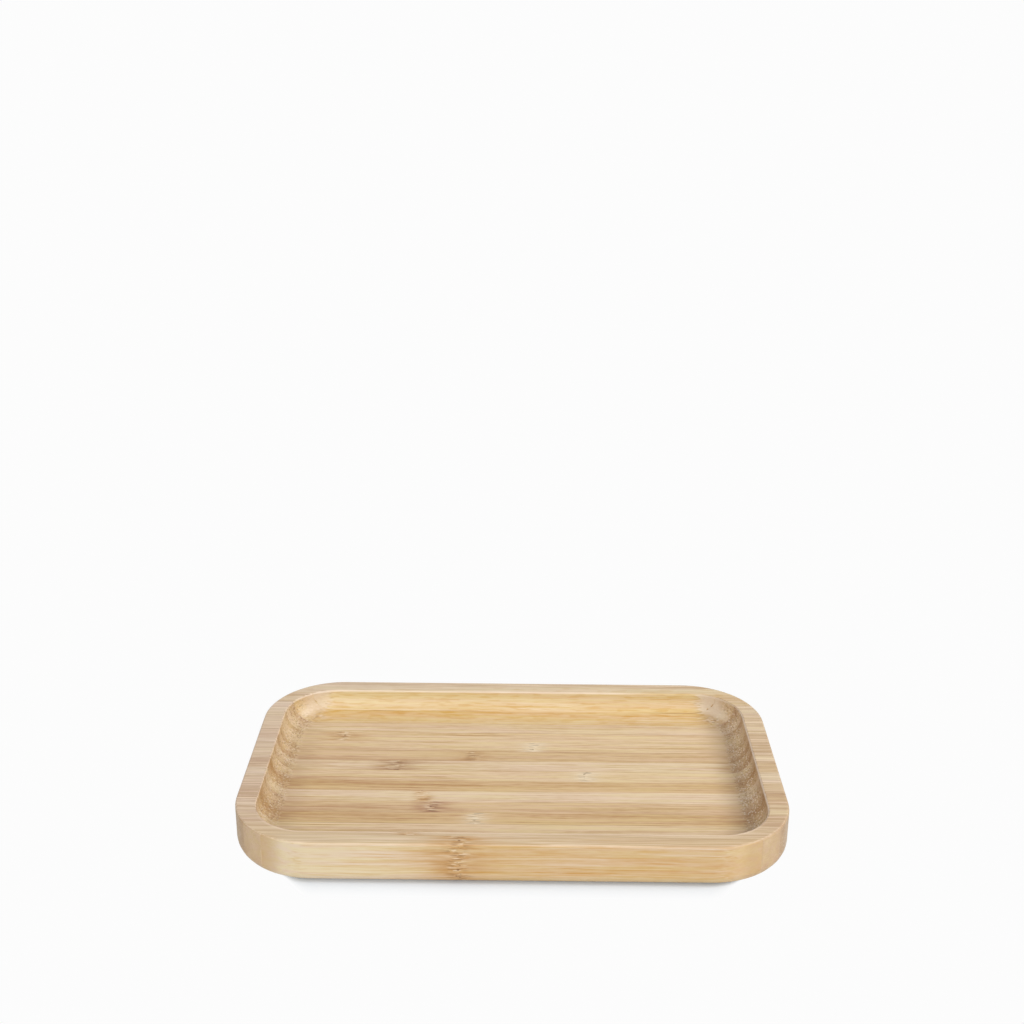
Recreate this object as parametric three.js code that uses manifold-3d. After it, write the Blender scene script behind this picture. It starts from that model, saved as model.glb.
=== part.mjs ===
// Small bamboo tray: upright bamboo strips glued face to face into a panel,
// which is then routed to a rounded outline with a shallow coved pocket.
// Sizes are in millimetres. +X runs along the strips, +Y to the back, +Z up.
// The origin is the middle of the underside.

import * as THREE from 'three';
import { mergeVertices } from 'three/addons/utils/BufferGeometryUtils.js';
import Module from 'manifold-3d';

const wasm = await Module();
wasm.setup();

// Driving dimensions of the finished tray
const trayLength = 200;
const trayDepth = 120;
const trayHeight = 16.5;
const outerCornerRadius = 30;
const lowerEdgeRadius = 4.5;
const topEdgeRadius = 0.8;

// Driving dimensions of the routed pocket
const rimWidth = 8;
const pocketDepth = 9.5;
const pocketCornerRadius = 19;
const coveRadius = 8.2;

// Driving dimensions of the strips, from glue line to glue line
const stripThickness = 7.4;
const frontStripThickness = 5.4;
const backStripThickness = 3.6;

// Flat steps that stand for each curve
const cornerSteps = 20;
const coveSteps = 10;
const lowerEdgeSteps = 6;
const topEdgeSteps = 3;

// How far a cutting shape runs past the material, and the least corner radius of any level
const cutterOverrun = 5;
const leastCornerRadius = 0.5;

const pocketLength = trayLength - 2 * rimWidth;
const pocketWidth = trayDepth - 2 * rimWidth;
const floorHeight = trayHeight - pocketDepth;

// Bamboo tones, and their order from the front edge to the back
const pale = 0xdac5a7;
const straw = 0xd7bd98;
const tan = 0xcdb18d;
const honey = 0xd4b27f;
const toneOrder = [
  honey, straw, tan, straw, honey, tan, pale, honey, straw,
  pale, tan, straw, straw, pale, honey, honey, tan,
];
const bambooRoughness = 0.55;

// Ring of points round a rounded rectangle that is set in evenly from its full size
function roundedRectangle(length, width, cornerRadius, inset) {
  const halfLength = length / 2 - inset;
  const halfWidth = width / 2 - inset;
  const radius = Math.max(cornerRadius - inset, leastCornerRadius);
  const right = halfLength - radius;
  const back = halfWidth - radius;
  const quarter = Math.PI / 2;
  const outline = new THREE.Shape();
  outline.absarc(right, back, radius, 0, quarter);
  outline.absarc(-right, back, radius, quarter, 2 * quarter);
  outline.absarc(-right, -back, radius, 2 * quarter, 3 * quarter);
  outline.absarc(right, -back, radius, 3 * quarter, 4 * quarter);
  return outline.getPoints(cornerSteps / 2);
}

// Points of an arc in a wall's section: inset grows inwards from the wall, height upwards
function sectionArc(centreInset, centreHeight, radius, startAngle, endAngle, steps) {
  const points = [];
  for (let step = 0; step <= steps; step++) {
    const angle = THREE.MathUtils.degToRad(startAngle + (step / steps) * (endAngle - startAngle));
    const inset = centreInset + radius * Math.cos(angle);
    const height = centreHeight + radius * Math.sin(angle);
    points.push({ inset, height });
  }
  return points;
}

// Solid through level rings, one for each point of the section, lowest first
function loft(section, length, width, cornerRadius) {
  const rings = section.map(({ inset }) => roundedRectangle(length, width, cornerRadius, inset));
  const ringSize = rings[0].length;
  const positions = [];
  const triangles = [];
  section.forEach(({ height }, level) => {
    rings[level].forEach((point) => positions.push(point.x, point.y, height));
  });
  for (let level = 0; level < rings.length - 1; level++) {
    for (let k = 0; k < ringSize; k++) {
      const here = level * ringSize + k;
      const next = level * ringSize + ((k + 1) % ringSize);
      triangles.push(here, next, next + ringSize);
      triangles.push(here, next + ringSize, here + ringSize);
    }
  }
  const top = (rings.length - 1) * ringSize;
  for (let k = 1; k < ringSize - 1; k++) {
    triangles.push(0, k + 1, k);
    triangles.push(top, top + k, top + k + 1);
  }
  const geometry = new THREE.BufferGeometry();
  geometry.setAttribute('position', new THREE.Float32BufferAttribute(positions, 3));
  geometry.setIndex(triangles);
  return geometry;
}

// Outer form: flat underside, rounded lower edge, upright side, eased top edge
function outerForm() {
  const lowerEdge = sectionArc(
    lowerEdgeRadius, lowerEdgeRadius, lowerEdgeRadius, -90, -180, lowerEdgeSteps);
  const topEdge = sectionArc(
    topEdgeRadius, trayHeight - topEdgeRadius, topEdgeRadius, 180, 90, topEdgeSteps);
  return loft([...lowerEdge, ...topEdge], trayLength, trayDepth, outerCornerRadius);
}

// Pocket as a solid: flat floor, quarter-round cove, short wall, eased mouth
function pocketForm() {
  const cove = sectionArc(coveRadius, floorHeight + coveRadius, coveRadius, -90, -180, coveSteps);
  const mouth = sectionArc(
    -topEdgeRadius, trayHeight - topEdgeRadius, topEdgeRadius, 0, 90, topEdgeSteps);
  const above = { inset: -topEdgeRadius, height: trayHeight + cutterOverrun };
  return loft([...cove, ...mouth, above], pocketLength, pocketWidth, pocketCornerRadius);
}

// Block that reaches from one glue line to the next, right through the tray
function slab(frontY, backY) {
  const geometry = new THREE.BoxGeometry(
    trayLength + 2 * cutterOverrun, 1, trayHeight + 2 * cutterOverrun);
  geometry.translate(0, 0, trayHeight / 2);
  const position = geometry.getAttribute('position');
  for (let k = 0; k < position.count; k++) {
    position.setY(k, position.getY(k) < 0 ? frontY : backY);
  }
  return geometry;
}

function toSolid(geometry) {
  const bare = geometry.clone();
  bare.deleteAttribute('normal');
  bare.deleteAttribute('uv');
  const merged = mergeVertices(bare);
  return new wasm.Manifold(new wasm.Mesh({
    numProp: 3,
    vertProperties: new Float32Array(merged.getAttribute('position').array),
    triVerts: new Uint32Array(merged.getIndex().array),
  }));
}

function toGeometry(solid) {
  const mesh = solid.getMesh();
  const geometry = new THREE.BufferGeometry();
  geometry.setAttribute('position', new THREE.Float32BufferAttribute(mesh.vertProperties, 3));
  geometry.setIndex(Array.from(mesh.triVerts));
  geometry.computeVertexNormals();
  return geometry;
}

// Glue lines from front to back: like strips fill the space between the two trimmed edge strips
function glueLines() {
  const firstLine = -trayDepth / 2 + frontStripThickness;
  const lastLine = trayDepth / 2 - backStripThickness;
  const innerStrips = Math.round((lastLine - firstLine) / stripThickness);
  const spacing = (lastLine - firstLine) / innerStrips;
  return Array.from({ length: innerStrips + 1 }, (_, k) => firstLine + k * spacing);
}

function stripName(index, count) {
  if (index === 0) return 'front_edge_strip';
  if (index === count - 1) return 'back_edge_strip';
  return `inner_strip_${String(index).padStart(2, '0')}`;
}

// One strip: its slice of the routed tray
function strip(trayForm, frontY, backY, index, count) {
  const solid = trayForm.intersect(toSolid(slab(frontY, backY)));
  const material = new THREE.MeshStandardMaterial({
    color: toneOrder[index % toneOrder.length],
    roughness: bambooRoughness,
    metalness: 0,
  });
  const mesh = new THREE.Mesh(toGeometry(solid), material);
  mesh.name = stripName(index, count);
  return mesh;
}

const tray = new THREE.Group();
const trayForm = toSolid(outerForm()).subtract(toSolid(pocketForm()));
const frontEnd = -trayDepth / 2 - cutterOverrun;
const backEnd = trayDepth / 2 + cutterOverrun;
const cuts = [frontEnd, ...glueLines(), backEnd];
const stripCount = cuts.length - 1;
for (let index = 0; index < stripCount; index++) {
  tray.add(strip(trayForm, cuts[index], cuts[index + 1], index, stripCount));
}

export default tray;
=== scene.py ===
import math
from collections import namedtuple

import bmesh
import bpy
from mathutils import Matrix, Vector


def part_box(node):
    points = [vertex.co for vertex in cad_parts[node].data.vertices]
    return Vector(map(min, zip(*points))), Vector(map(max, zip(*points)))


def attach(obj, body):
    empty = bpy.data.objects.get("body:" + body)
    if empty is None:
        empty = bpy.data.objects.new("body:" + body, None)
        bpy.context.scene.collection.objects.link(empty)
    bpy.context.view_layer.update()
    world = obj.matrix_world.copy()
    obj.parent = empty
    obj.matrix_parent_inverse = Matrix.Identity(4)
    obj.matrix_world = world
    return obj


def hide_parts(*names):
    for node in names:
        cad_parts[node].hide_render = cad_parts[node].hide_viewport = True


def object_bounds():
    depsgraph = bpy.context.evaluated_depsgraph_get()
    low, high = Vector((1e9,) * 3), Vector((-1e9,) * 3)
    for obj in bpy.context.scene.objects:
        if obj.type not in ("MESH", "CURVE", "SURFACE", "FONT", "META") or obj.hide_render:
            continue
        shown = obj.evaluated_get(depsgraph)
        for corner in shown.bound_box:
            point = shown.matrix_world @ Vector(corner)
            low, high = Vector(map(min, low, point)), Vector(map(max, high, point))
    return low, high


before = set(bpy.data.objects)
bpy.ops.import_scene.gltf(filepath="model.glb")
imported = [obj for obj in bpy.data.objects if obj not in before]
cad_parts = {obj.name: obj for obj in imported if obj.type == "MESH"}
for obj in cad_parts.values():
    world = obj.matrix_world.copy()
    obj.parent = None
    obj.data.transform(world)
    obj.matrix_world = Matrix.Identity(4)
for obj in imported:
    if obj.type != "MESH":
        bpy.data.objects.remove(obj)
cad_low, cad_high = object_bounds()

# Lengths are in metres, apart from names that end in MM, which are in millimetres
MM = 0.001
HALF_LENGTH_MM = cad_high.x / MM
HALF_DEPTH_MM = cad_high.y / MM
TRAY_HEIGHT_MM = cad_high.z / MM

# Driving sizes of the routed form, from the solids
OUTER_CORNER_MM = 30.0
LOWER_EDGE_MM = 4.5
EASED_EDGE_MM = 0.8
RIM_WIDTH_MM = 8.0
POCKET_DEPTH_MM = 9.5
POCKET_CORNER_MM = 19.0
COVE_MM = 8.2

# Centres of the tray's corners and of the pocket's corners
CORNER_X_MM = HALF_LENGTH_MM - OUTER_CORNER_MM
CORNER_Y_MM = HALF_DEPTH_MM - OUTER_CORNER_MM
POCKET_X_MM = HALF_LENGTH_MM - RIM_WIDTH_MM - POCKET_CORNER_MM
POCKET_Y_MM = HALF_DEPTH_MM - RIM_WIDTH_MM - POCKET_CORNER_MM

# Pocket: where its floor ends along X, how high its floor and the top of its cove are, and how far the
# flat rim starts from the centre of a corner
FLOOR_END_MM = HALF_LENGTH_MM - RIM_WIDTH_MM - COVE_MM
FLOOR_HEIGHT_MM = TRAY_HEIGHT_MM - POCKET_DEPTH_MM
COVE_TOP_MM = FLOOR_HEIGHT_MM + COVE_MM
RIM_START_MM = POCKET_CORNER_MM + EASED_EDGE_MM

# Smooth shading of the solids' flat steps
WELD_DISTANCE = 0.002 * MM
SHARP_ANGLE = math.radians(40)
NORMAL_WEIGHT = 50

# Camera of the photograph: the image is 1024 pixels square
IMAGE_PIXELS = 1024
SENSOR_WIDTH = 36.0
FOCAL_PIXELS = 1436.4
CAMERA_PLACE = Vector((2.67, -480.65, 296.85)) * MM
CAMERA_PITCH = math.radians(20.62)
CAMERA_TURN = math.radians(0.43)
CAMERA_ROLL = math.radians(0.38)

# Studio light: the share of white that the surroundings give, and two soft lamps with powers in watts
WORLD_LIGHT = 0.5
Lamp = namedtuple("Lamp", "place width height power")
KEY = Lamp((1.45, -0.25, 1.30), 0.8, 0.8, 24.5)
FILL = Lamp((-0.45, -1.75, 0.95), 1.4, 0.9, 19.5)

# Floor: its size, its colour as it lights the tray, its colour where the shadow is seen, and the white
# further off and all round
FLOOR_SIZE = 6.0
FLOOR_COLOUR = (0.79, 0.835, 0.90, 1.0)
SHADOW_COLOUR = (0.69, 0.745, 0.81, 1.0)
WHITE = (0.975, 0.975, 0.975, 1.0)

# Shadow: the corner radius of the tray's foot, how far the shadow shows beyond the foot in front, at the
# front corners, at the sides and behind, the share of that over which it fades, and the spans over which
# one side gives way to the next
CONTACT_RADIUS_MM = OUTER_CORNER_MM - LOWER_EDGE_MM
SHADOW_FRONT_MM = 12.0
SHADOW_CORNER_MM = 1.5
SHADOW_SIDE_MM = 9.0
SHADOW_BACK_MM = 20.0
SHADOW_FADE_SPAN = (0.1, 1.0)
STRAIGHT_FRONT_MM = (CORNER_X_MM + 12.0, CORNER_X_MM - 2.0)
TO_FRONT_MM = (0.0, -CORNER_Y_MM)
TO_SIDE_MM = (-CORNER_Y_MM, 0.0)
TO_BEHIND_MM = (CORNER_Y_MM, HALF_DEPTH_MM)


def linear(hex_colour):
    """Scene-linear colour of a written sRGB colour."""
    parts = [int(hex_colour[i:i + 2], 16) / 255 for i in (1, 3, 5)]
    curve = [c / 12.92 if c <= 0.04045 else ((c + 0.055) / 1.055) ** 2.4 for c in parts]
    return (*curve, 1.0)


# Bamboo tones: the ground tissue, the denser fibre, and how clearly fine grain shows in it
Tone = namedtuple("Tone", "ground fibre contrast")
PALE = Tone(linear("#d8c2a2"), linear("#b9986f"), 1.0)
STRAW = Tone(linear("#d6be98"), linear("#b28d62"), 1.0)
TAN = Tone(linear("#cdb18a"), linear("#a77f54"), 1.0)
HONEY = Tone(linear("#cbae81"), linear("#a27544"), 1.0)
AMBER = Tone(linear("#d4be98"), linear("#bb9043"), 0.55)
BUTTER = Tone(linear("#d9c59d"), linear("#c19545"), 0.38)
FRONT = Tone(linear("#d6c2a2"), linear("#bd8d3d"), 0.55)

# A knuckle is the joint of the bamboo cane that a strip was cut across: its place along X, how far
# it colours the fibres to each side, and its colour. A strip without one has it far off its end.
Knuckle = namedtuple("Knuckle", "place_mm reach_mm colour")
NO_KNUCKLE = Knuckle(1000.0, 1.0, linear("#a87a45"))
KNUCKLE_BROWN = linear("#94683c")
KNUCKLE_TAN = linear("#b48c5c")
KNUCKLE_ROSY = linear("#9f7150")
KNUCKLE_AMBER = linear("#b5864a")
KNUCKLE_GREY = linear("#d8c5a8")

# A strip's looks: the side where the cane's skin was, how far the strip leans to its fibre colour
# at five places from its left tip to its right tip, how strongly flat grain shows as amber and cream
# flames, and its knuckle. The front edge comes first.
StripLook = namedtuple("StripLook", "tone skin lean flames knuckle")
STRIP_LOOKS = [
    StripLook(
        FRONT, "front", (0.36, -0.22, 0.20, 0.23, 0.43), 0.12, Knuckle(-18.2, 10.0, KNUCKLE_AMBER)),
    StripLook(STRAW, "back", (0.20, 0.00, 0.00, 0.00, 0.30), 0.2, Knuckle(-36.0, 4.0, KNUCKLE_TAN)),
    StripLook(STRAW, "front", (0.50, 0.10, 0.00, 0.05, 0.50), 0.2, NO_KNUCKLE),
    StripLook(STRAW, "front", (0.15, 0.15, 0.00, 0.05, 0.05), 0.1, NO_KNUCKLE),
    StripLook(HONEY, "back", (0.30, 0.08, -0.12, 0.00, 0.22), 0.1, Knuckle(-12.7, 4.0, KNUCKLE_GREY)),
    StripLook(TAN, "front", (0.15, 0.15, 0.00, 0.00, 0.00), 0.1, Knuckle(-30.0, 7.0, KNUCKLE_ROSY)),
    StripLook(PALE, "front", (0.12, 0.12, 0.00, -0.05, -0.12), 0.1, Knuckle(-33.6, 3.0, KNUCKLE_AMBER)),
    StripLook(HONEY, "back", (0.35, 0.15, 0.00, 0.00, 0.10), 0.1, NO_KNUCKLE),
    StripLook(STRAW, "front", (0.12, 0.12, 0.04, -0.06, -0.06), 0.1, Knuckle(27.7, 5.0, KNUCKLE_GREY)),
    StripLook(PALE, "front", (0.30, 0.30, 0.05, 0.05, 0.75), 0.1, Knuckle(-45.0, 7.0, KNUCKLE_BROWN)),
    StripLook(TAN, "front", (0.00, 0.00, 0.00, 0.00, 0.08), 0.1, Knuckle(-15.5, 6.0, KNUCKLE_TAN)),
    StripLook(STRAW, "front", (0.05, 0.10, 0.00, 0.00, -0.10), 0.1, Knuckle(8.0, 5.0, KNUCKLE_GREY)),
    StripLook(STRAW, "back", (-0.20, 0.00, 0.00, 0.00, -0.04), 0.1, Knuckle(-68.5, 9.0, KNUCKLE_TAN)),
    StripLook(PALE, "back", (0.05, 0.05, 0.00, 0.00, 0.00), 0.1, NO_KNUCKLE),
    StripLook(AMBER, "back", (0.16, 0.16, 0.08, 0.10, 0.10), 0.6, NO_KNUCKLE),
    StripLook(BUTTER, "front", (-0.22, -0.22, -0.12, -0.02, -0.02), 0.85, NO_KNUCKLE),
    StripLook(STRAW, "front", (0.00, 0.00, 0.00, 0.00, 0.00), 0.3, NO_KNUCKLE),
]

# Inputs of the bamboo pattern, and where along X one lean gives way to the next
LEAN_INPUTS = ("Left Tip", "Left", "Middle", "Right", "Right Tip")
LEAN_STEPS_MM = ((-88.0, -77.0), (-70.0, 0.0), (0.0, 70.0), (77.0, 88.0))
COLOUR_INPUTS = ("Ground", "Fibre", "Knuckle Colour")
STRIP_INPUTS = ("Seed", "Front", "Back", "Skin Back", "Contrast", "Flames", "Knuckle", "Reach")

# How far each strip's part of the patterns lies from the next strip's, and how far beyond the front
# and back faces of the tray a glue line is put so that it doesn't show there
SEED_SHIFT_MM = (37.0, 11.3, 5.7)
NO_GLUE_MM = 1.0

# Noise: the size of its features along X, Y and Z, and how much finer detail they carry
Noise = namedtuple("Noise", "size_mm detail", defaults=(1.0,))
HAIR = Noise((40.0, 0.42, 0.36))
STREAK = Noise((50.0, 0.9, 0.7), 1.5)
THREAD = Noise((100.0, 0.72, 0.6))
FLECK = Noise((5.0, 0.8, 0.6))
BROAD_SHADE = Noise((80.0, 3.2, 5.0))
AMBER_FLAME = Noise((7.0, 2.2, 0.65), 1.5)
CREAM_FLAME = Noise((26.0, 3.0, 1.3), 2.0)
HUE = Noise((45.0, 1.6, 1.6))
WANDER = Noise((60.0, 14.0, 14.0))
SWIRL = Noise((5.0, 2.0, 2.0))
RAGGED_KNUCKLE = Noise((30.0, 0.9, 0.9), 1.5)
KNUCKLE_STREAK = Noise((10.0, 0.7, 0.8), 2.0)
KNUCKLE_DASH = Noise((4.5, 0.55, 0.55))
RAGGED_CUT = Noise((9.0, 0.6, 0.5))
DOT_PATCH = Noise((9.0, 4.0, 6.0))
GLUE_STRETCH = Noise((45.0, 40.0, 40.0))
# Patches of the painted highlight on eased edges
EDGE_HIGHLIGHT_PATCH = Noise((9.0, 6.0, 6.0), 2.0)

# Spans of a noise's level, over which its marks come up
DARK_THREAD_SPAN = (0.60, 0.66)
PALE_THREAD_SPAN = (0.40, 0.34)
AMBER_FLAME_SPAN = (0.50, 0.64)
CREAM_FLAME_SPAN = (0.50, 0.70)
HUE_SPAN = (0.35, 0.65)
KNUCKLE_STREAK_SPAN = (0.30, 0.62)
DARK_DASH_SPAN = (0.55, 0.60)
PALE_DASH_SPAN = (0.44, 0.39)
DOT_PATCH_SPAN = (0.35, 0.60)
DARK_GLUE_SPAN = (0.46, 0.58)
PALE_GLUE_SPAN = (0.46, 0.36)
DARK_LINE_SPAN = (0.52, 0.66)
PALE_LINE_SPAN = (0.46, 0.34)
# Span of the painted highlight on eased edges
EDGE_HIGHLIGHT_SPAN = (0.35, 0.65)

# Spots round scattered points: how far apart the points are along X, Y and Z, and the span of the
# distance, as a share of that, over which a spot comes up
Spots = namedtuple("Spots", "apart_mm span")
SPARSE_BUNDLES = Spots((26.0, 1.0, 1.15), (0.38, 0.14))
DENSE_BUNDLES = Spots((22.0, 0.62, 0.72), (0.44, 0.16))
OPEN_VESSELS = Spots((14.0, 1.15, 0.95), (0.42, 0.22))
DARK_BUNDLES = Spots((14.0, 1.15, 0.95), (0.42, 0.24))
DARK_BUNDLE_SHIFT_MM = (5.0, 3.0, 2.0)
KNUCKLE_PITS = Spots((2.4, 2.0, 2.0), (0.26, 0.17))

# How far fibres wander across the strip, and how far they swirl in a knuckle
WANDER_REACH_MM = (0.0, 1.6, 1.6)
SWIRL_REACH_MM = (0.0, 0.6, 0.6)

# Knuckle: half widths of its ring of pits and of its core, and how uneven it is across the strip
KNUCKLE_RING_MM = 1.5
KNUCKLE_CORE_MM = 3.2
KNUCKLE_CORE_SHIFT_MM = 3.0
KNUCKLE_UNEVENNESS = 2.5

# Spans of facing: how much a face looks along X for fibres that are cut across, along Y in the
# pocket's corners, and along Z for walls and eased edges
OUTSIDE_END_SPAN = (0.76, 0.96)
INSIDE_END_SPAN = (0.06, 0.40)
OPEN_END_SPAN = (0.03, 0.24)
SLANT_SPAN = (0.10, 0.26)
RAGGED_SPAN = (0.0, 0.05)
SHORT_OF_END_SPAN = (0.86, 0.54)
OUTER_TURN_SPAN = (0.28, 0.46)
CORNER_SPAN = (0.30, 0.50)
UPRIGHT_SPAN = (0.9, 0.6)
TILTED_SPAN = (0.95, 0.75)
FACES_UP_SPAN = (0.0, 0.2)

# How far noise moves the start of a slanting cut, as a share of facing
RAGGED_SHIFT = 0.45

# Span of the share of a strip's thickness, over which the cane's skin begins
SKIN_SPAN = (0.25, 0.95)

# Spans outwards from the pocket's corners, where the pocket and its lip end, and beside a glue line
INSIDE_MM = (RIM_START_MM + 3.0, RIM_START_MM)
LIP_MM = (RIM_START_MM + 0.8, RIM_START_MM + 0.1)
GLUE_SEAM_MM = (0.25, 0.08)

# Spans along X
CUTS_TO_RIGHT_MM = (-50.0, 50.0)
RIM_TO_LEFT_MM = (60.0, -90.0)
RIM_TO_RIGHT_MM = (40.0, 75.0)
BACK_LEFT_MM = (-78.0, -88.0)
BACK_RIGHT_MM = (42.0, 54.0)
FLOOR_TIP_MM = (FLOOR_END_MM - 11.0, FLOOR_END_MM + 1.5)

# Spans along Y
RIM_TO_FRONT_MM = (-40.0, -54.0)
RIM_TO_BACK_MM = (30.0, 44.0)

# Spans of height
COVE_FOOT_MM = (FLOOR_HEIGHT_MM + 3.0, FLOOR_HEIGHT_MM + 0.5)
# Heights over which the painted rosy shade on the cut ends comes up
SHADED_ROSY_CUT_MM = (FLOOR_HEIGHT_MM + 2.0, FLOOR_HEIGHT_MM + 6.0)
CLOSED_CUT_MM = (FLOOR_HEIGHT_MM + 2.5, FLOOR_HEIGHT_MM + 7.5)
EASED_MM = (TRAY_HEIGHT_MM - 1.2 * EASED_EDGE_MM, TRAY_HEIGHT_MM - 0.6 * EASED_EDGE_MM)
NEAR_TOP_MM = (TRAY_HEIGHT_MM - 0.6 * EASED_EDGE_MM, TRAY_HEIGHT_MM - 0.2 * EASED_EDGE_MM)

# How far each pattern leans the colour from ground tissue to fibre
PLAIN_LEAN = 0.12
HAIR_LEAN = 1.4
STREAK_LEAN = 0.72
FLECK_LEAN = 0.75
DARK_THREAD_LEAN = 0.38
PALE_THREAD_LEAN = -0.33
BROAD_SHADE_LEAN = 0.7
BUNDLE_LEAN = 0.26
SKIN_LEAN = 0.14
FLAMED_SKIN_LEAN = 0.28
AMBER_FLAME_LEAN = 0.33
CREAM_FLAME_LEAN = -0.22

# Shares that are lost: of fine grain on outer slanting cuts, of bundles in flames, of glue lines
# across the grain, of dots on the pocket's slanting cuts, of open vessels high in the cove, and of
# the painted highlight on eased edges at the back left of the pocket
FINE_GRAIN_LOSS = 0.75
BUNDLE_LOSS = 0.7
GLUE_LOSS = 0.85
DOT_LOSS = 0.60
VESSEL_LOSS = 0.55
EDGE_HIGHLIGHT_LOSS = 0.8

# Colours that all strips share
YELLOW_TINT = (1.0, 1.01, 0.93, 1.0)
ROSY_TINT = (1.0, 0.975, 1.03, 1.0)
# Cut-end colours as painted light and shade: gold where the cut ends are lit on the left, rose where
# they are shaded on the right
LIT_CUT_GOLD = linear("#95733f")
SHADED_CUT_ROSE = linear("#86604c")
VESSEL_CREAM = linear("#e6d9c6")
# Painted sheen on the pocket's slanting corners
CORNER_SHEEN_CREAM = linear("#e6d8c4")
SLANT_TAN = linear("#a78763")
# Veils of the painted sheen on the rim top
RIM_GREY = linear("#c4b1a3")
RIM_DUN = linear("#b3a08c")
RIM_TAN = linear("#c1aa8a")
EDGE_CREAM = linear("#f7dfc7")

# A knuckle's dark dashes and its pits, as shares of its colour
DASH_SHADE = (0.55, 0.52, 0.50)
PIT_SHADE = (0.42, 0.34, 0.26)

# A stain is a colour, and how strongly it covers what lies under it
Stain = namedtuple("Stain", "colour cover")
DARK_GLUE = Stain(linear("#8a6234"), 0.55)
# Painted shade: a rosy tint on the cut ends high in the cove to the right
SHADED_ROSY_CUT = Stain(SHADED_CUT_ROSE, 0.15)
SKIN_BROWN = Stain(linear("#946a35"), 0.28)
PITH_CREAM = Stain(linear("#e6cfab"), 0.14)
BUNDLE_BROWN = Stain(linear("#7a5729"), 0.52)
TURN_TAN = Stain(SLANT_TAN, 0.32)
# Painted shade on the tray's outer ends
PAINTED_END_SHADE = Stain(linear("#8f7d6b"), 0.40)
# Painted shade at the foot of the cove
PAINTED_FOOT_SHADE = Stain(linear("#7d5f43"), 0.20)
DARK_RIM_LINE = Stain(linear("#a2825f"), 0.40)
PALE_RIM_LINE = Stain(EDGE_CREAM, 0.25)
# Painted highlights on the pocket's lip
LIP_HIGHLIGHT = Stain(linear("#e4d6c8"), 0.60)
FRONT_LIP_HIGHLIGHT = Stain(EDGE_CREAM, 0.32)
BACK_RIGHT_LIP = Stain(SLANT_TAN, 0.30)
# Painted shade on the outer eased edge to the right
RIGHT_EDGE_SHADE = Stain(SLANT_TAN, 0.65)
PALE_DASH = Stain(linear("#ebdcc0"), 0.50)

# Covers of the dots and of the stains that change over the surface: a plain number, or a first value and
# how much it grows by. The last is how far the painted highlight on the lip along the back shows.
PALE_GLUE_COVER = 0.40
CUT_COVER = 0.22
# Cover of the painted sheen on the rim top in front
FRONT_RIM_COVER = 0.60
DARK_DASH_COVER = 0.70
PIT_COVER = 0.75
DOT_PATCH_COVER = (0.55, 0.45)
VESSEL_COVER = (0.42, 0.26)
# Cover of the painted sheen on the pocket's corners, growing to the right
CORNER_SHEEN_COVER = (0.44, 0.14)
# Cover of the painted sheen on the rim top, growing to the left
RIM_COVER = (0.28, 0.16)
# Cover of the painted highlight on eased edges
EDGE_HIGHLIGHT_COVER = (0.12, 0.20)
KNUCKLE_COVER = (0.22, 0.65)
BACK_LIP_HIGHLIGHT_SHARE = 0.75

# Satin lacquer: its refraction, and how rough it is in all, more on hair lines and on cut ends
LACQUER_IOR = 1.48
LACQUER_ROUGHNESS = 0.40
HAIR_ROUGHNESS = 0.16
END_ROUGHNESS = 0.10

# Relief: its full height, how strongly it shades, and what each pattern gives to it
RELIEF_HEIGHT = 0.05 * MM
RELIEF_STRENGTH = 0.5
HAIR_RELIEF = 0.6
BUNDLE_RELIEF = -0.3
PIT_RELIEF = -0.6
GLUE_RELIEF = -0.5


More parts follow.
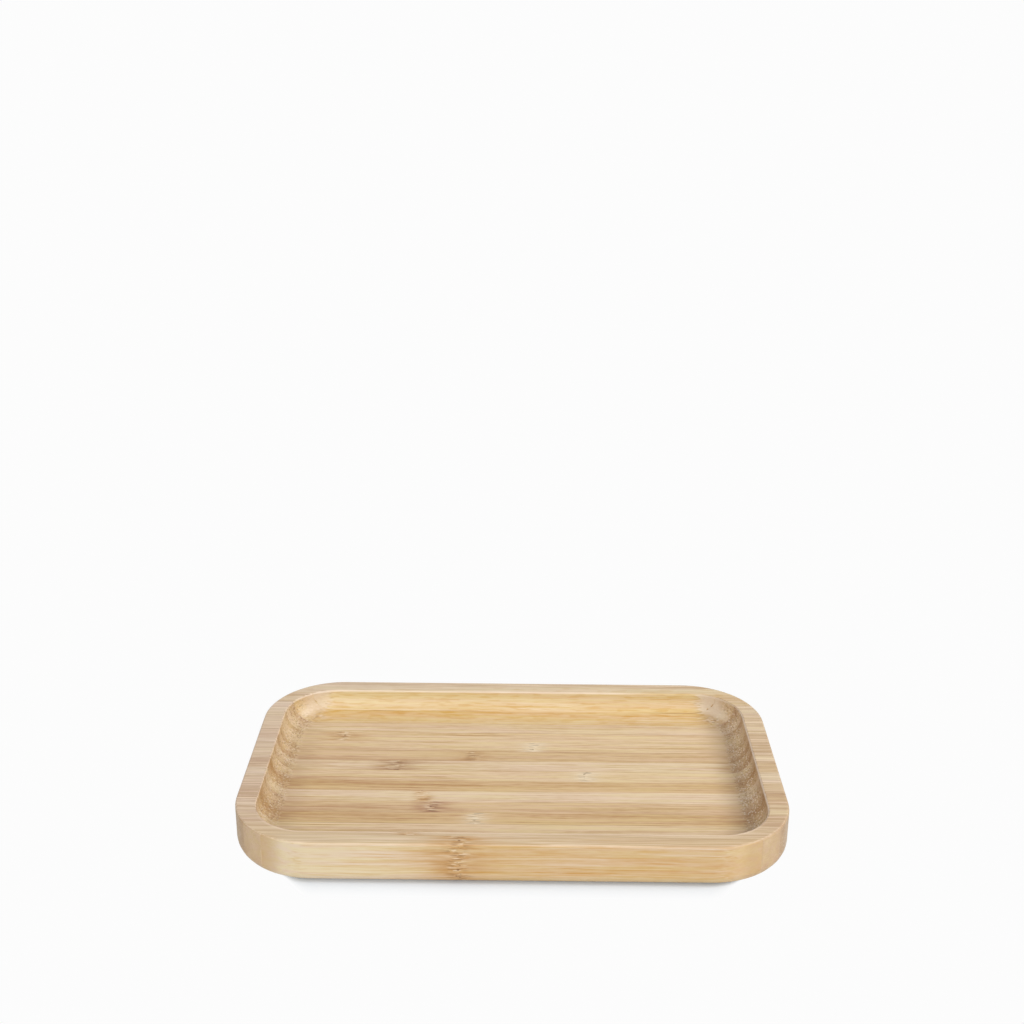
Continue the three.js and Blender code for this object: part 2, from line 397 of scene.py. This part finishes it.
class Shading:
    """Adds nodes to one node tree and joins them, with a socket or a plain value as each input."""

    def __init__(self, tree):
        self.tree = tree

    def add(self, kind, inputs=None, **settings):
        node = self.tree.nodes.new(kind)
        for name, setting in settings.items():
            setattr(node, name, setting)
        for name, source in (inputs or {}).items():
            self.feed(node.inputs[name], source)
        return node

    def feed(self, socket, source):
        if isinstance(source, bpy.types.NodeSocket):
            self.tree.links.new(source, socket)
        else:
            socket.default_value = source

    def math(self, operation, *terms, clamp=False):
        inputs = dict(enumerate(terms))
        return self.add("ShaderNodeMath", inputs, operation=operation, use_clamp=clamp).outputs[0]

    def vector(self, operation, *terms):
        inputs = dict(enumerate(terms))
        return self.add("ShaderNodeVectorMath", inputs, operation=operation).outputs[0]

    def scaled(self, vector, factor):
        inputs = {0: vector, "Scale": factor}
        return self.add("ShaderNodeVectorMath", inputs, operation="SCALE").outputs[0]

    def length(self, vector):
        return self.add("ShaderNodeVectorMath", {0: vector}, operation="LENGTH").outputs["Value"]

    def split(self, vector):
        return self.add("ShaderNodeSeparateXYZ", {0: vector}).outputs

    def joined(self, *parts):
        return self.add("ShaderNodeCombineXYZ", dict(enumerate(parts))).outputs[0]

    def times(self, first, *others):
        for other in others:
            first = self.math("MULTIPLY", first, other)
        return first

    def summed(self, base, *parts):
        """A number plus some others, each with its weight."""
        for part, weight in parts:
            base = self.math("MULTIPLY_ADD", part, weight, base)
        return base

    def rest(self, share):
        return self.math("SUBTRACT", 1.0, share)

    def less(self, share, loss):
        """1 where a share is 0, and less by a loss where it is 1."""
        return self.summed(1.0, (share, -loss))

    def growing(self, cover, share):
        """A cover's first value where a share is 0, and its growth added where it is 1."""
        first, growth = cover
        return self.summed(first, (share, growth))

    def centred(self, share):
        """A share from 0 to 1, put round zero."""
        return self.math("SUBTRACT", share, 0.5)

    def apart(self, first, second):
        return self.math("ABSOLUTE", self.math("SUBTRACT", first, second))

    def step(self, value, span):
        """Smooth step of a value from 0 at a span's start to 1 at its end, which may be lower."""
        start, end = span
        rises = float(start < end)
        inputs = {0: value, 1: min(span), 2: max(span), 3: 1.0 - rises, 4: rises}
        return self.add("ShaderNodeMapRange", inputs, interpolation_type="SMOOTHSTEP").outputs[0]

    def bell(self, offset, width):
        """Bell curve of a distance, 1 in the middle."""
        share = self.math("DIVIDE", offset, width)
        return self.math("EXPONENT", self.times(share, share, -1.0))

    def between(self, share, first, second):
        """Number between two others."""
        return self.add("ShaderNodeMix", {0: share, 2: first, 3: second}, data_type="FLOAT").outputs[0]

    def blend(self, share, first, second):
        """Colour between two others."""
        return self.add("ShaderNodeMix", {0: share, 6: first, 7: second}, data_type="RGBA").outputs[2]

    def over(self, colour, stain, *masks):
        """A colour with a stain over it, where every mask lets it show."""
        return self.blend(self.times(stain.cover, *masks), colour, stain.colour)

    def shrunk(self, point, size_mm):
        return self.vector("DIVIDE", point, size_mm)

    def noise_node(self, point, look):
        inputs = {"Vector": self.shrunk(point, look.size_mm), "Scale": 1.0, "Detail": look.detail}
        return self.add("ShaderNodeTexNoise", inputs)

    def noise(self, point, look):
        """Soft noise from 0 to 1."""
        return self.noise_node(point, look).outputs[0]

    def drift(self, point, look):
        """Soft noise in three directions, round zero."""
        return self.vector("SUBTRACT", self.noise_node(point, look).outputs["Color"], (0.5, 0.5, 0.5))

    def spots(self, point, look):
        """1 in spots round scattered points, and 0 between them."""
        inputs = {"Vector": self.shrunk(point, look.apart_mm), "Scale": 1.0}
        distance = self.add("ShaderNodeTexVoronoi", inputs).outputs["Distance"]
        return self.step(distance, look.span)

    def beyond(self, axes, half_x, half_y):
        """Distance in plan outwards from a rectangle round the origin."""
        past_x = self.math("SUBTRACT", self.math("ABSOLUTE", axes["X"]), half_x)
        past_y = self.math("SUBTRACT", self.math("ABSOLUTE", axes["Y"]), half_y)
        past = self.joined(self.math("MAXIMUM", past_x, 0.0), self.math("MAXIMUM", past_y, 0.0))
        return self.length(past)

    def seen(self):
        """1 for what is looked at straight, in a reflection or through glass, and 0 for light."""
        rays = self.add("ShaderNodeLightPath").outputs
        looked_at = self.math("MAXIMUM", rays["Is Camera Ray"], rays["Is Glossy Ray"])
        return self.math("MAXIMUM", looked_at, rays["Is Transmission Ray"])

    def place_mm(self):
        """Place on the surface in the shared frame, in millimetres."""
        place = self.add("ShaderNodeTexCoord").outputs["Object"]
        return self.vector("DIVIDE", place, (MM, MM, MM))


class Bamboo(Shading):
    """Bamboo whose fibres run along X: long faces show streaks, and cut ends show dots."""

    def __init__(self, tree):
        super().__init__(tree)
        self.given = self.add("NodeGroupInput").outputs
        point = self.place_mm()
        self.axes = self.split(point)
        # Each strip reads its own part of the patterns
        shift = self.joined(*[self.times(self.given["Seed"], length) for length in SEED_SHIFT_MM])
        self.seeded = self.vector("ADD", point, shift)
        self.find_cuts()
        self.find_rim()
        self.find_knuckle()
        self.bend_fibres()
        self.find_bundles()
        self.hair = self.noise(self.bent, HAIR)

    def find_cuts(self):
        """Where fibres are cut across, inside the pocket and outside the tray."""
        facing = self.split(self.add("ShaderNodeNewGeometry").outputs["Normal"])
        self.up = facing["Z"]
        end_on = self.math("ABSOLUTE", facing["X"])
        upright = self.step(self.math("ABSOLUTE", self.up), UPRIGHT_SPAN)
        from_pocket = self.beyond(self.axes, POCKET_X_MM, POCKET_Y_MM)
        self.inside = self.step(from_pocket, INSIDE_MM)
        self.lip = self.times(self.step(from_pocket, LIP_MM), self.inside)
        outside_ends = self.step(end_on, OUTSIDE_END_SPAN)
        self.ends = self.between(self.inside, outside_ends, self.step(end_on, INSIDE_END_SPAN))
        self.open_ends = self.between(self.inside, outside_ends, self.step(end_on, OPEN_END_SPAN))
        ragged = self.centred(self.noise(self.seeded, RAGGED_CUT))
        ragged = self.times(ragged, self.step(end_on, RAGGED_SPAN))
        uneven = self.summed(end_on, (ragged, RAGGED_SHIFT))
        slanting = self.times(self.step(uneven, SLANT_SPAN), upright)
        in_corner = self.step(self.math("ABSOLUTE", facing["Y"]), CORNER_SPAN)
        short_of_end = self.step(end_on, SHORT_OF_END_SPAN)
        self.inner_slant = self.times(slanting, short_of_end, in_corner, self.inside)
        self.outer_slant = self.times(slanting, self.rest(self.ends), self.rest(self.inside))
        self.outer_ends = self.times(outside_ends, upright, self.rest(self.inside))
        self.outer_turn = self.times(self.outer_slant, self.step(end_on, OUTER_TURN_SPAN))

    def find_rim(self):
        """Where the rim and its eased edges lie, and which side of the tray a place is on."""
        self.near_top = self.step(self.axes["Z"], NEAR_TOP_MM)
        self.tilted = self.step(self.up, TILTED_SPAN)
        self.at_front = self.step(self.axes["Y"], RIM_TO_FRONT_MM)
        self.at_back = self.step(self.axes["Y"], RIM_TO_BACK_MM)
        self.at_right = self.step(self.axes["X"], RIM_TO_RIGHT_MM)
        self.to_right = self.step(self.axes["X"], CUTS_TO_RIGHT_MM)
        # Where the painted edge highlight fades, at the back left of the pocket
        back_left = self.times(self.at_back, self.step(self.axes["X"], BACK_LEFT_MM), self.inside)
        self.off_back_left = self.less(back_left, EDGE_HIGHLIGHT_LOSS)

    def find_knuckle(self):
        """Distance along the strip from its knuckle, made uneven across the strip."""
        reach = self.given["Reach"]
        along = self.math("SUBTRACT", self.axes["X"], self.given["Knuckle"])
        ragged = self.centred(self.noise(self.seeded, RAGGED_KNUCKLE))
        uneven = self.times(ragged, KNUCKLE_UNEVENNESS)
        self.ring = self.bell(along, KNUCKLE_RING_MM)
        self.core = self.bell(self.summed(along, (uneven, KNUCKLE_CORE_SHIFT_MM)), KNUCKLE_CORE_MM)
        self.halo = self.bell(self.summed(along, (uneven, reach)), reach)

    def bend_fibres(self):
        """Fibres wander slowly along the strip, and swirl in its knuckle."""
        wander = self.drift(self.seeded, WANDER)
        swirl = self.scaled(self.drift(self.seeded, SWIRL), self.core)
        bent = self.vector("MULTIPLY_ADD", wander, WANDER_REACH_MM, self.seeded)
        self.bent = self.vector("MULTIPLY_ADD", swirl, SWIRL_REACH_MM, bent)

    def find_bundles(self):
        """Fibre bundles: large and sparse on the inner side of the cane, small and dense at its skin."""
        front = self.given["Front"]
        depth = self.math("SUBTRACT", self.given["Back"], front)
        across = self.math("DIVIDE", self.math("SUBTRACT", self.axes["Y"], front), depth, clamp=True)
        skin = self.between(self.given["Skin Back"], self.rest(across), across)
        self.near_skin = self.step(skin, SKIN_SPAN)
        sparse = self.spots(self.bent, SPARSE_BUNDLES)
        dense = self.spots(self.bent, DENSE_BUNDLES)
        bundles = self.between(self.near_skin, sparse, dense)
        self.bundles = self.times(bundles, self.rest(self.outer_slant))

    def unroll_cove(self):
        """Fibres with their heights spread evenly along the arc of the cove that cuts them."""
        height = self.axes["Z"]
        above = self.math("SUBTRACT", height, COVE_TOP_MM)
        share = self.math("DIVIDE", above, -COVE_MM, clamp=True)
        arc = self.times(self.math("ARCCOSINE", share), COVE_MM)
        arc = self.math("ADD", arc, self.math("MAXIMUM", above, 0.0))
        lift = self.times(self.math("SUBTRACT", arc, height), self.inside)
        return self.vector("ADD", self.bent, self.joined(0.0, 0.0, lift))

    def lean(self):
        """How far the strip leans to its fibre colour, from its left tip to its right tip."""
        lean = self.given[LEAN_INPUTS[0]]
        for name, span in zip(LEAN_INPUTS[1:], LEAN_STEPS_MM):
            lean = self.between(self.step(self.axes["X"], span), lean, self.given[name])
        return lean

    def fine_grain(self):
        """Hair lines, streaks, flecks and single threads."""
        streak = self.noise(self.bent, STREAK)
        fleck = self.noise(self.bent, FLECK)
        thread = self.noise(self.bent, THREAD)
        return self.summed(
            0.0,
            (self.centred(self.hair), HAIR_LEAN),
            (self.centred(streak), STREAK_LEAN),
            (self.centred(fleck), FLECK_LEAN),
            (self.step(thread, DARK_THREAD_SPAN), DARK_THREAD_LEAN),
            (self.step(thread, PALE_THREAD_SPAN), PALE_THREAD_LEAN))

    def flat_grain(self):
        """Amber and cream flames."""
        amber = self.step(self.noise(self.bent, AMBER_FLAME), AMBER_FLAME_SPAN)
        cream = self.step(self.noise(self.bent, CREAM_FLAME), CREAM_FLAME_SPAN)
        return self.summed(self.times(amber, AMBER_FLAME_LEAN), (cream, CREAM_FLAME_LEAN))

    def fibre_colour(self):
        """Streaks of fibre in the ground tissue, with broad shades and the flames of flat grain."""
        contrast = self.given["Contrast"]
        flames = self.given["Flames"]
        bundles = self.times(self.bundles, self.less(flames, BUNDLE_LOSS))
        clearness = self.times(contrast, self.less(self.outer_slant, FINE_GRAIN_LOSS))
        broad = self.centred(self.noise(self.seeded, BROAD_SHADE))
        share = self.summed(
            PLAIN_LEAN,
            (self.lean(), 1.0),
            (bundles, BUNDLE_LEAN),
            (self.near_skin, SKIN_LEAN),
            (self.fine_grain(), clearness),
            (broad, self.times(contrast, BROAD_SHADE_LEAN)),
            (self.flat_grain(), flames),
            (self.times(self.near_skin, flames), FLAMED_SKIN_LEAN))
        share = self.math("MAXIMUM", share, 0.0, clamp=True)
        colour = self.blend(share, self.given["Ground"], self.given["Fibre"])
        hue = self.step(self.noise(self.bent, HUE), HUE_SPAN)
        return self.vector("MULTIPLY", colour, self.blend(hue, ROSY_TINT, YELLOW_TINT))

    def glue_lines(self, colour):
        """A hair of glue between strips, dark in some stretches and pale in others."""
        to_front = self.apart(self.axes["Y"], self.given["Front"])
        to_back = self.apart(self.axes["Y"], self.given["Back"])
        seam = self.step(self.math("MINIMUM", to_front, to_back), GLUE_SEAM_MM)
        slanting = self.math("MAXIMUM", self.inner_slant, self.outer_slant)
        across_grain = self.math("MAXIMUM", self.ends, slanting)
        self.glue = self.times(seam, self.less(across_grain, GLUE_LOSS))
        stretch = self.noise(self.seeded, GLUE_STRETCH)
        colour = self.over(colour, DARK_GLUE, self.step(stretch, DARK_GLUE_SPAN), self.glue)
        cover = self.times(PALE_GLUE_COVER, self.rest(self.given["Flames"]))
        pale_glue = Stain(EDGE_CREAM, cover)
        return self.over(colour, pale_glue, self.step(stretch, PALE_GLUE_SPAN), self.glue)

    def cut_ends(self, colour):
        """Cut ends are darker, with painted light and shade: golden on the lit left and rosy on the
        shaded right, and browner towards the cane's skin.
        """
        cut = Stain(self.blend(self.to_right, LIT_CUT_GOLD, SHADED_CUT_ROSE), CUT_COVER)
        colour = self.over(colour, cut, self.ends)
        # Painted shade: the cut ends high in the cove to the right turn rosier
        upper = self.step(self.axes["Z"], SHADED_ROSY_CUT_MM)
        colour = self.over(colour, SHADED_ROSY_CUT, self.ends, self.to_right, upper, self.inside)
        colour = self.over(colour, SKIN_BROWN, self.ends, self.near_skin)
        return self.over(colour, PITH_CREAM, self.ends, self.rest(self.near_skin))

    def end_dots(self, colour):
        """Patches of dots on cut ends: dark bundles, and pale vessels that fade high in the cove."""
        patchy = self.step(self.noise(self.seeded, DOT_PATCH), DOT_PATCH_SPAN)
        dotted = self.growing(DOT_PATCH_COVER, patchy)
        dotted = self.times(dotted, self.less(self.inner_slant, DOT_LOSS))
        fibres = self.unroll_cove()
        beside = self.vector("ADD", fibres, DARK_BUNDLE_SHIFT_MM)
        bundles = self.spots(beside, DARK_BUNDLES)
        colour = self.over(colour, BUNDLE_BROWN, self.open_ends, bundles, dotted)
        high = self.step(self.axes["Z"], CLOSED_CUT_MM)
        cover = self.times(self.growing(VESSEL_COVER, self.to_right), self.less(high, VESSEL_LOSS))
        vessels = self.spots(fibres, OPEN_VESSELS)
        return self.over(colour, Stain(VESSEL_CREAM, cover), self.open_ends, vessels, dotted)

    def slanting_cuts(self, colour):
        """The tray's corners are tan, its outer ends are greyed by painted shade, and the pocket's
        corners are lightened by a painted sheen.
        """
        colour = self.over(colour, TURN_TAN, self.outer_turn)
        colour = self.over(colour, PAINTED_END_SHADE, self.outer_ends)
        corner_sheen = Stain(CORNER_SHEEN_CREAM, self.growing(CORNER_SHEEN_COVER, self.to_right))
        return self.over(colour, corner_sheen, self.inner_slant)

    def cove_foot_shade(self, colour):
        """Painted shade: the two ends of the pocket's floor darken towards the cove."""
        along = self.step(self.math("ABSOLUTE", self.axes["X"]), FLOOR_TIP_MM)
        low = self.step(self.axes["Z"], COVE_FOOT_MM)
        faces_up = self.step(self.up, FACES_UP_SPAN)
        return self.over(colour, PAINTED_FOOT_SHADE, along, low, self.inside, faces_up)

    def rim_sheen(self, colour):
        """The rim top has a painted sheen, greyer to the left and tan in front, with dark and pale hair
        lines.
        """
        to_left = self.step(self.axes["X"], RIM_TO_LEFT_MM)
        sheen_veil = self.blend(self.at_front, self.blend(to_left, RIM_DUN, RIM_GREY), RIM_TAN)
        cover = self.between(self.at_front, self.growing(RIM_COVER, to_left), FRONT_RIM_COVER)
        colour = self.over(colour, Stain(sheen_veil, cover), self.near_top)
        dark_lines = self.step(self.hair, DARK_LINE_SPAN)
        pale_lines = self.step(self.hair, PALE_LINE_SPAN)
        colour = self.over(colour, DARK_RIM_LINE, self.near_top, dark_lines)
        return self.over(colour, PALE_RIM_LINE, self.near_top, pale_lines)

    def eased_edges(self, colour):
        """Eased edges carry a painted highlight, paler in patches, and the outer one has a painted tan
        shade to the right.
        """
        highlit = self.step(self.noise(self.seeded, EDGE_HIGHLIGHT_PATCH), EDGE_HIGHLIGHT_SPAN)
        cover = self.growing(EDGE_HIGHLIGHT_COVER, highlit)
        cover = self.times(cover, self.rest(self.outer_turn), self.off_back_left)
        colour = self.over(colour, Stain(EDGE_CREAM, cover), self.near_top, self.tilted)
        outer_right = self.times(self.at_right, self.rest(self.inside))
        return self.over(colour, RIGHT_EDGE_SHADE, self.near_top, self.tilted, outer_right)

    def pocket_lip(self, colour):
        """The pocket's lip has a painted highlight, palest to the right and along the back, and is tan
        at the back right.
        """
        eased = self.step(self.axes["Z"], EASED_MM)
        back_right = self.times(self.at_back, self.step(self.axes["X"], BACK_RIGHT_MM))
        right_lip = self.times(self.inside, self.at_right, self.rest(self.at_back))
        back_lip = self.times(self.inside, self.at_back, self.rest(back_right))
        back_lip = self.times(back_lip, BACK_LIP_HIGHLIGHT_SHARE, self.off_back_left)
        highlit_lip = self.math("MAXIMUM", right_lip, back_lip)
        colour = self.over(colour, LIP_HIGHLIGHT, eased, self.tilted, highlit_lip)
        colour = self.over(colour, BACK_RIGHT_LIP, self.near_top, self.tilted, self.inside, back_right)
        return self.over(colour, FRONT_LIP_HIGHLIGHT, self.near_top, self.lip, self.at_front)

    def knuckle_marks(self, colour):
        """Knuckle: fibres take its colour in streaks, with dark and pale dashes and a ring of pits."""
        tone = self.given["Knuckle Colour"]
        streaky = self.step(self.noise(self.bent, KNUCKLE_STREAK), KNUCKLE_STREAK_SPAN)
        colour = self.over(colour, Stain(tone, self.growing(KNUCKLE_COVER, streaky)), self.halo)
        dash = self.noise(self.bent, KNUCKLE_DASH)
        dark_dash = Stain(self.vector("MULTIPLY", tone, DASH_SHADE), DARK_DASH_COVER)
        colour = self.over(colour, dark_dash, self.step(dash, DARK_DASH_SPAN), self.core)
        colour = self.over(colour, PALE_DASH, self.step(dash, PALE_DASH_SPAN), self.core)
        self.pits = self.times(self.spots(self.seeded, KNUCKLE_PITS), self.ring)
        pit = Stain(self.vector("MULTIPLY", tone, PIT_SHADE), PIT_COVER)
        return self.over(colour, pit, self.pits)

    def roughness(self):
        return self.summed(
            LACQUER_ROUGHNESS, (self.hair, HAIR_ROUGHNESS), (self.ends, END_ROUGHNESS))

    def relief(self):
        """Raised hair lines, with sunken bundles, pits and glue lines."""
        return self.summed(
            0.0,
            (self.hair, HAIR_RELIEF),
            (self.bundles, BUNDLE_RELIEF),
            (self.pits, PIT_RELIEF),
            (self.glue, GLUE_RELIEF))


def add_sockets(group, names, in_out, kind):
    for name in names:
        group.interface.new_socket(name, in_out=in_out, socket_type=kind)


def bamboo_group():
    """Node group of the bamboo pattern, which every strip's material uses with its own values."""
    group = bpy.data.node_groups.new("bamboo", "ShaderNodeTree")
    add_sockets(group, COLOUR_INPUTS, "INPUT", "NodeSocketColor")
    add_sockets(group, STRIP_INPUTS + LEAN_INPUTS, "INPUT", "NodeSocketFloat")
    add_sockets(group, ["Color"], "OUTPUT", "NodeSocketColor")
    add_sockets(group, ["Roughness", "Height"], "OUTPUT", "NodeSocketFloat")
    bamboo = Bamboo(group)
    colour = bamboo.fibre_colour()
    colour = bamboo.glue_lines(colour)
    colour = bamboo.cut_ends(colour)
    colour = bamboo.end_dots(colour)
    colour = bamboo.slanting_cuts(colour)
    colour = bamboo.cove_foot_shade(colour)
    colour = bamboo.rim_sheen(colour)
    colour = bamboo.eased_edges(colour)
    colour = bamboo.pocket_lip(colour)
    colour = bamboo.knuckle_marks(colour)
    results = {"Color": colour, "Roughness": bamboo.roughness(), "Height": bamboo.relief()}
    bamboo.add("NodeGroupOutput", results)
    return group


def empty_nodes(holder):
    """Empty node tree of a material or of the surroundings."""
    holder.use_nodes = True
    holder.node_tree.nodes.clear()
    return Shading(holder.node_tree)


def strip_values(node_name, index, count, look):
    """What the bamboo pattern is given for one strip: its tone, seed, glue lines and knuckle."""
    low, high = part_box(node_name)
    open_front = NO_GLUE_MM if index == 0 else 0.0
    open_back = NO_GLUE_MM if index == count - 1 else 0.0
    return {
        "Ground": look.tone.ground,
        "Fibre": look.tone.fibre,
        "Knuckle Colour": look.knuckle.colour,
        "Seed": 1.0 + index,
        "Front": low.y / MM - open_front,
        "Back": high.y / MM + open_back,
        "Skin Back": float(look.skin == "back"),
        "Contrast": look.tone.contrast,
        "Flames": look.flames,
        "Knuckle": look.knuckle.place_mm,
        "Reach": look.knuckle.reach_mm,
        **dict(zip(LEAN_INPUTS, look.lean)),
    }


def bamboo_material(node_name, values, group):
    """Lacquered bamboo of one strip."""
    material = bpy.data.materials.new(f"bamboo_{node_name}")
    nodes = empty_nodes(material)
    grain = nodes.add("ShaderNodeGroup", values, node_tree=group).outputs
    bump = nodes.add("ShaderNodeBump", {
        "Height": grain["Height"],
        "Strength": RELIEF_STRENGTH,
        "Distance": RELIEF_HEIGHT,
    })
    lacquer = nodes.add("ShaderNodeBsdfPrincipled", {
        "Base Color": grain["Color"],
        "Roughness": grain["Roughness"],
        "Normal": bump.outputs["Normal"],
        "IOR": LACQUER_IOR,
    })
    nodes.add("ShaderNodeOutputMaterial", {"Surface": lacquer.outputs[0]})
    return material


def smoothed_mesh(node, material):
    """Welded and smoothly shaded copy of a solid's mesh."""
    mesh = node.data.copy()
    mesh.materials.clear()
    mesh.materials.append(material)
    shape = bmesh.new()
    shape.from_mesh(mesh)
    bmesh.ops.remove_doubles(shape, verts=shape.verts, dist=WELD_DISTANCE)
    bmesh.ops.recalc_face_normals(shape, faces=shape.faces)
    for face in shape.faces:
        face.smooth = True
    for edge in shape.edges:
        edge.smooth = edge.calc_face_angle(math.pi) < SHARP_ANGLE
    shape.to_mesh(mesh)
    shape.free()
    if "custom_normal" in mesh.attributes:
        mesh.attributes.remove(mesh.attributes["custom_normal"])
    return mesh


def finished_strip(node_name, node, material):
    """Smooth copy of a strip's solid, which stands for it."""
    piece = bpy.data.objects.new(f"{node_name}_bamboo", smoothed_mesh(node, material))
    bpy.context.scene.collection.objects.link(piece)
    even = piece.modifiers.new("even_normals", "WEIGHTED_NORMAL")
    even.mode = "FACE_AREA"
    even.weight = NORMAL_WEIGHT
    even.keep_sharp = True
    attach(piece, "root")
    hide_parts(node_name)
    return piece


def make_strips():
    """All strips, from the front edge to the back."""
    group = bamboo_group()
    names = sorted(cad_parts, key=lambda name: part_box(name)[0].y)
    for index, name in enumerate(names):
        values = strip_values(name, index, len(names), STRIP_LOOKS[index])
        material = bamboo_material(name, values, group)
        piece = finished_strip(name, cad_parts[name], material)


def floor_material():
    """Pale floor that takes the shadow close to the tray, and reads as plain white further off."""
    material = bpy.data.materials.new("pale_floor")
    nodes = empty_nodes(material)
    axes = nodes.split(nodes.place_mm())
    corner = nodes.beyond(axes, CORNER_X_MM, CORNER_Y_MM)
    away = nodes.math("SUBTRACT", corner, CONTACT_RADIUS_MM)
    straight = nodes.step(nodes.math("ABSOLUTE", axes["X"]), STRAIGHT_FRONT_MM)
    in_front = nodes.times(straight, nodes.step(axes["Y"], TO_FRONT_MM))
    reach = nodes.between(in_front, SHADOW_CORNER_MM, SHADOW_FRONT_MM)
    reach = nodes.between(nodes.step(axes["Y"], TO_SIDE_MM), reach, SHADOW_SIDE_MM)
    reach = nodes.between(nodes.step(axes["Y"], TO_BEHIND_MM), reach, SHADOW_BACK_MM)
    far = nodes.step(nodes.math("DIVIDE", away, reach), SHADOW_FADE_SPAN)
    seen = nodes.seen()
    colour = nodes.blend(seen, FLOOR_COLOUR, SHADOW_COLOUR)
    plain = nodes.add("ShaderNodeBsdfDiffuse", {"Color": colour}).outputs[0]
    white = nodes.add("ShaderNodeEmission", {"Color": WHITE, "Strength": 1.0}).outputs[0]
    mix = {0: nodes.times(far, seen), 1: plain, 2: white}
    surface = nodes.add("ShaderNodeMixShader", mix).outputs[0]
    nodes.add("ShaderNodeOutputMaterial", {"Surface": surface})
    return material


def make_floor():
    """Plain level floor under the tray."""
    half = FLOOR_SIZE / 2
    corners = [(-half, -half, 0), (half, -half, 0), (half, half, 0), (-half, half, 0)]
    mesh = bpy.data.meshes.new("floor")
    mesh.from_pydata(corners, [], [(0, 1, 2, 3)])
    mesh.materials.append(floor_material())
    floor = bpy.data.objects.new("floor", mesh)
    bpy.context.scene.collection.objects.link(floor)


def add_softbox(name, look):
    """Rectangular lamp that points at the tray."""
    lamp = bpy.data.lights.new(name, "AREA")
    lamp.shape = "RECTANGLE"
    lamp.size = look.width
    lamp.size_y = look.height
    lamp.energy = look.power
    holder = bpy.data.objects.new(name, lamp)
    bpy.context.scene.collection.objects.link(holder)
    holder.location = look.place
    holder.rotation_euler = (-Vector(look.place)).to_track_quat("-Z", "Y").to_euler()


def make_light():
    """Even white surroundings, with a soft key lamp from the right and a fill from the front left."""
    world = bpy.data.worlds.new("studio")
    bpy.context.scene.world = world
    nodes = empty_nodes(world)
    strength = nodes.summed(WORLD_LIGHT, (nodes.seen(), 1.0 - WORLD_LIGHT))
    back = nodes.add("ShaderNodeBackground", {"Color": WHITE, "Strength": strength})
    nodes.add("ShaderNodeOutputWorld", {"Surface": back.outputs[0]})
    add_softbox("key", KEY)
    add_softbox("fill", FILL)


def make_camera():
    """Camera where the photograph was taken from."""
    data = bpy.data.cameras.new("camera")
    data.sensor_fit = "HORIZONTAL"
    data.sensor_width = SENSOR_WIDTH
    data.lens = FOCAL_PIXELS / IMAGE_PIXELS * SENSOR_WIDTH
    camera = bpy.data.objects.new("camera", data)
    bpy.context.scene.collection.objects.link(camera)
    level = Matrix.Rotation(math.pi / 2 - CAMERA_PITCH, 4, "X")
    turn = Matrix.Rotation(CAMERA_TURN, 4, "Z")
    roll = Matrix.Rotation(CAMERA_ROLL, 4, "Z")
    camera.matrix_world = Matrix.Translation(CAMERA_PLACE) @ turn @ level @ roll
    bpy.context.scene.camera = camera


make_strips()
make_floor()
make_light()
make_camera()
bpy.context.scene.view_settings.view_transform = "Standard"
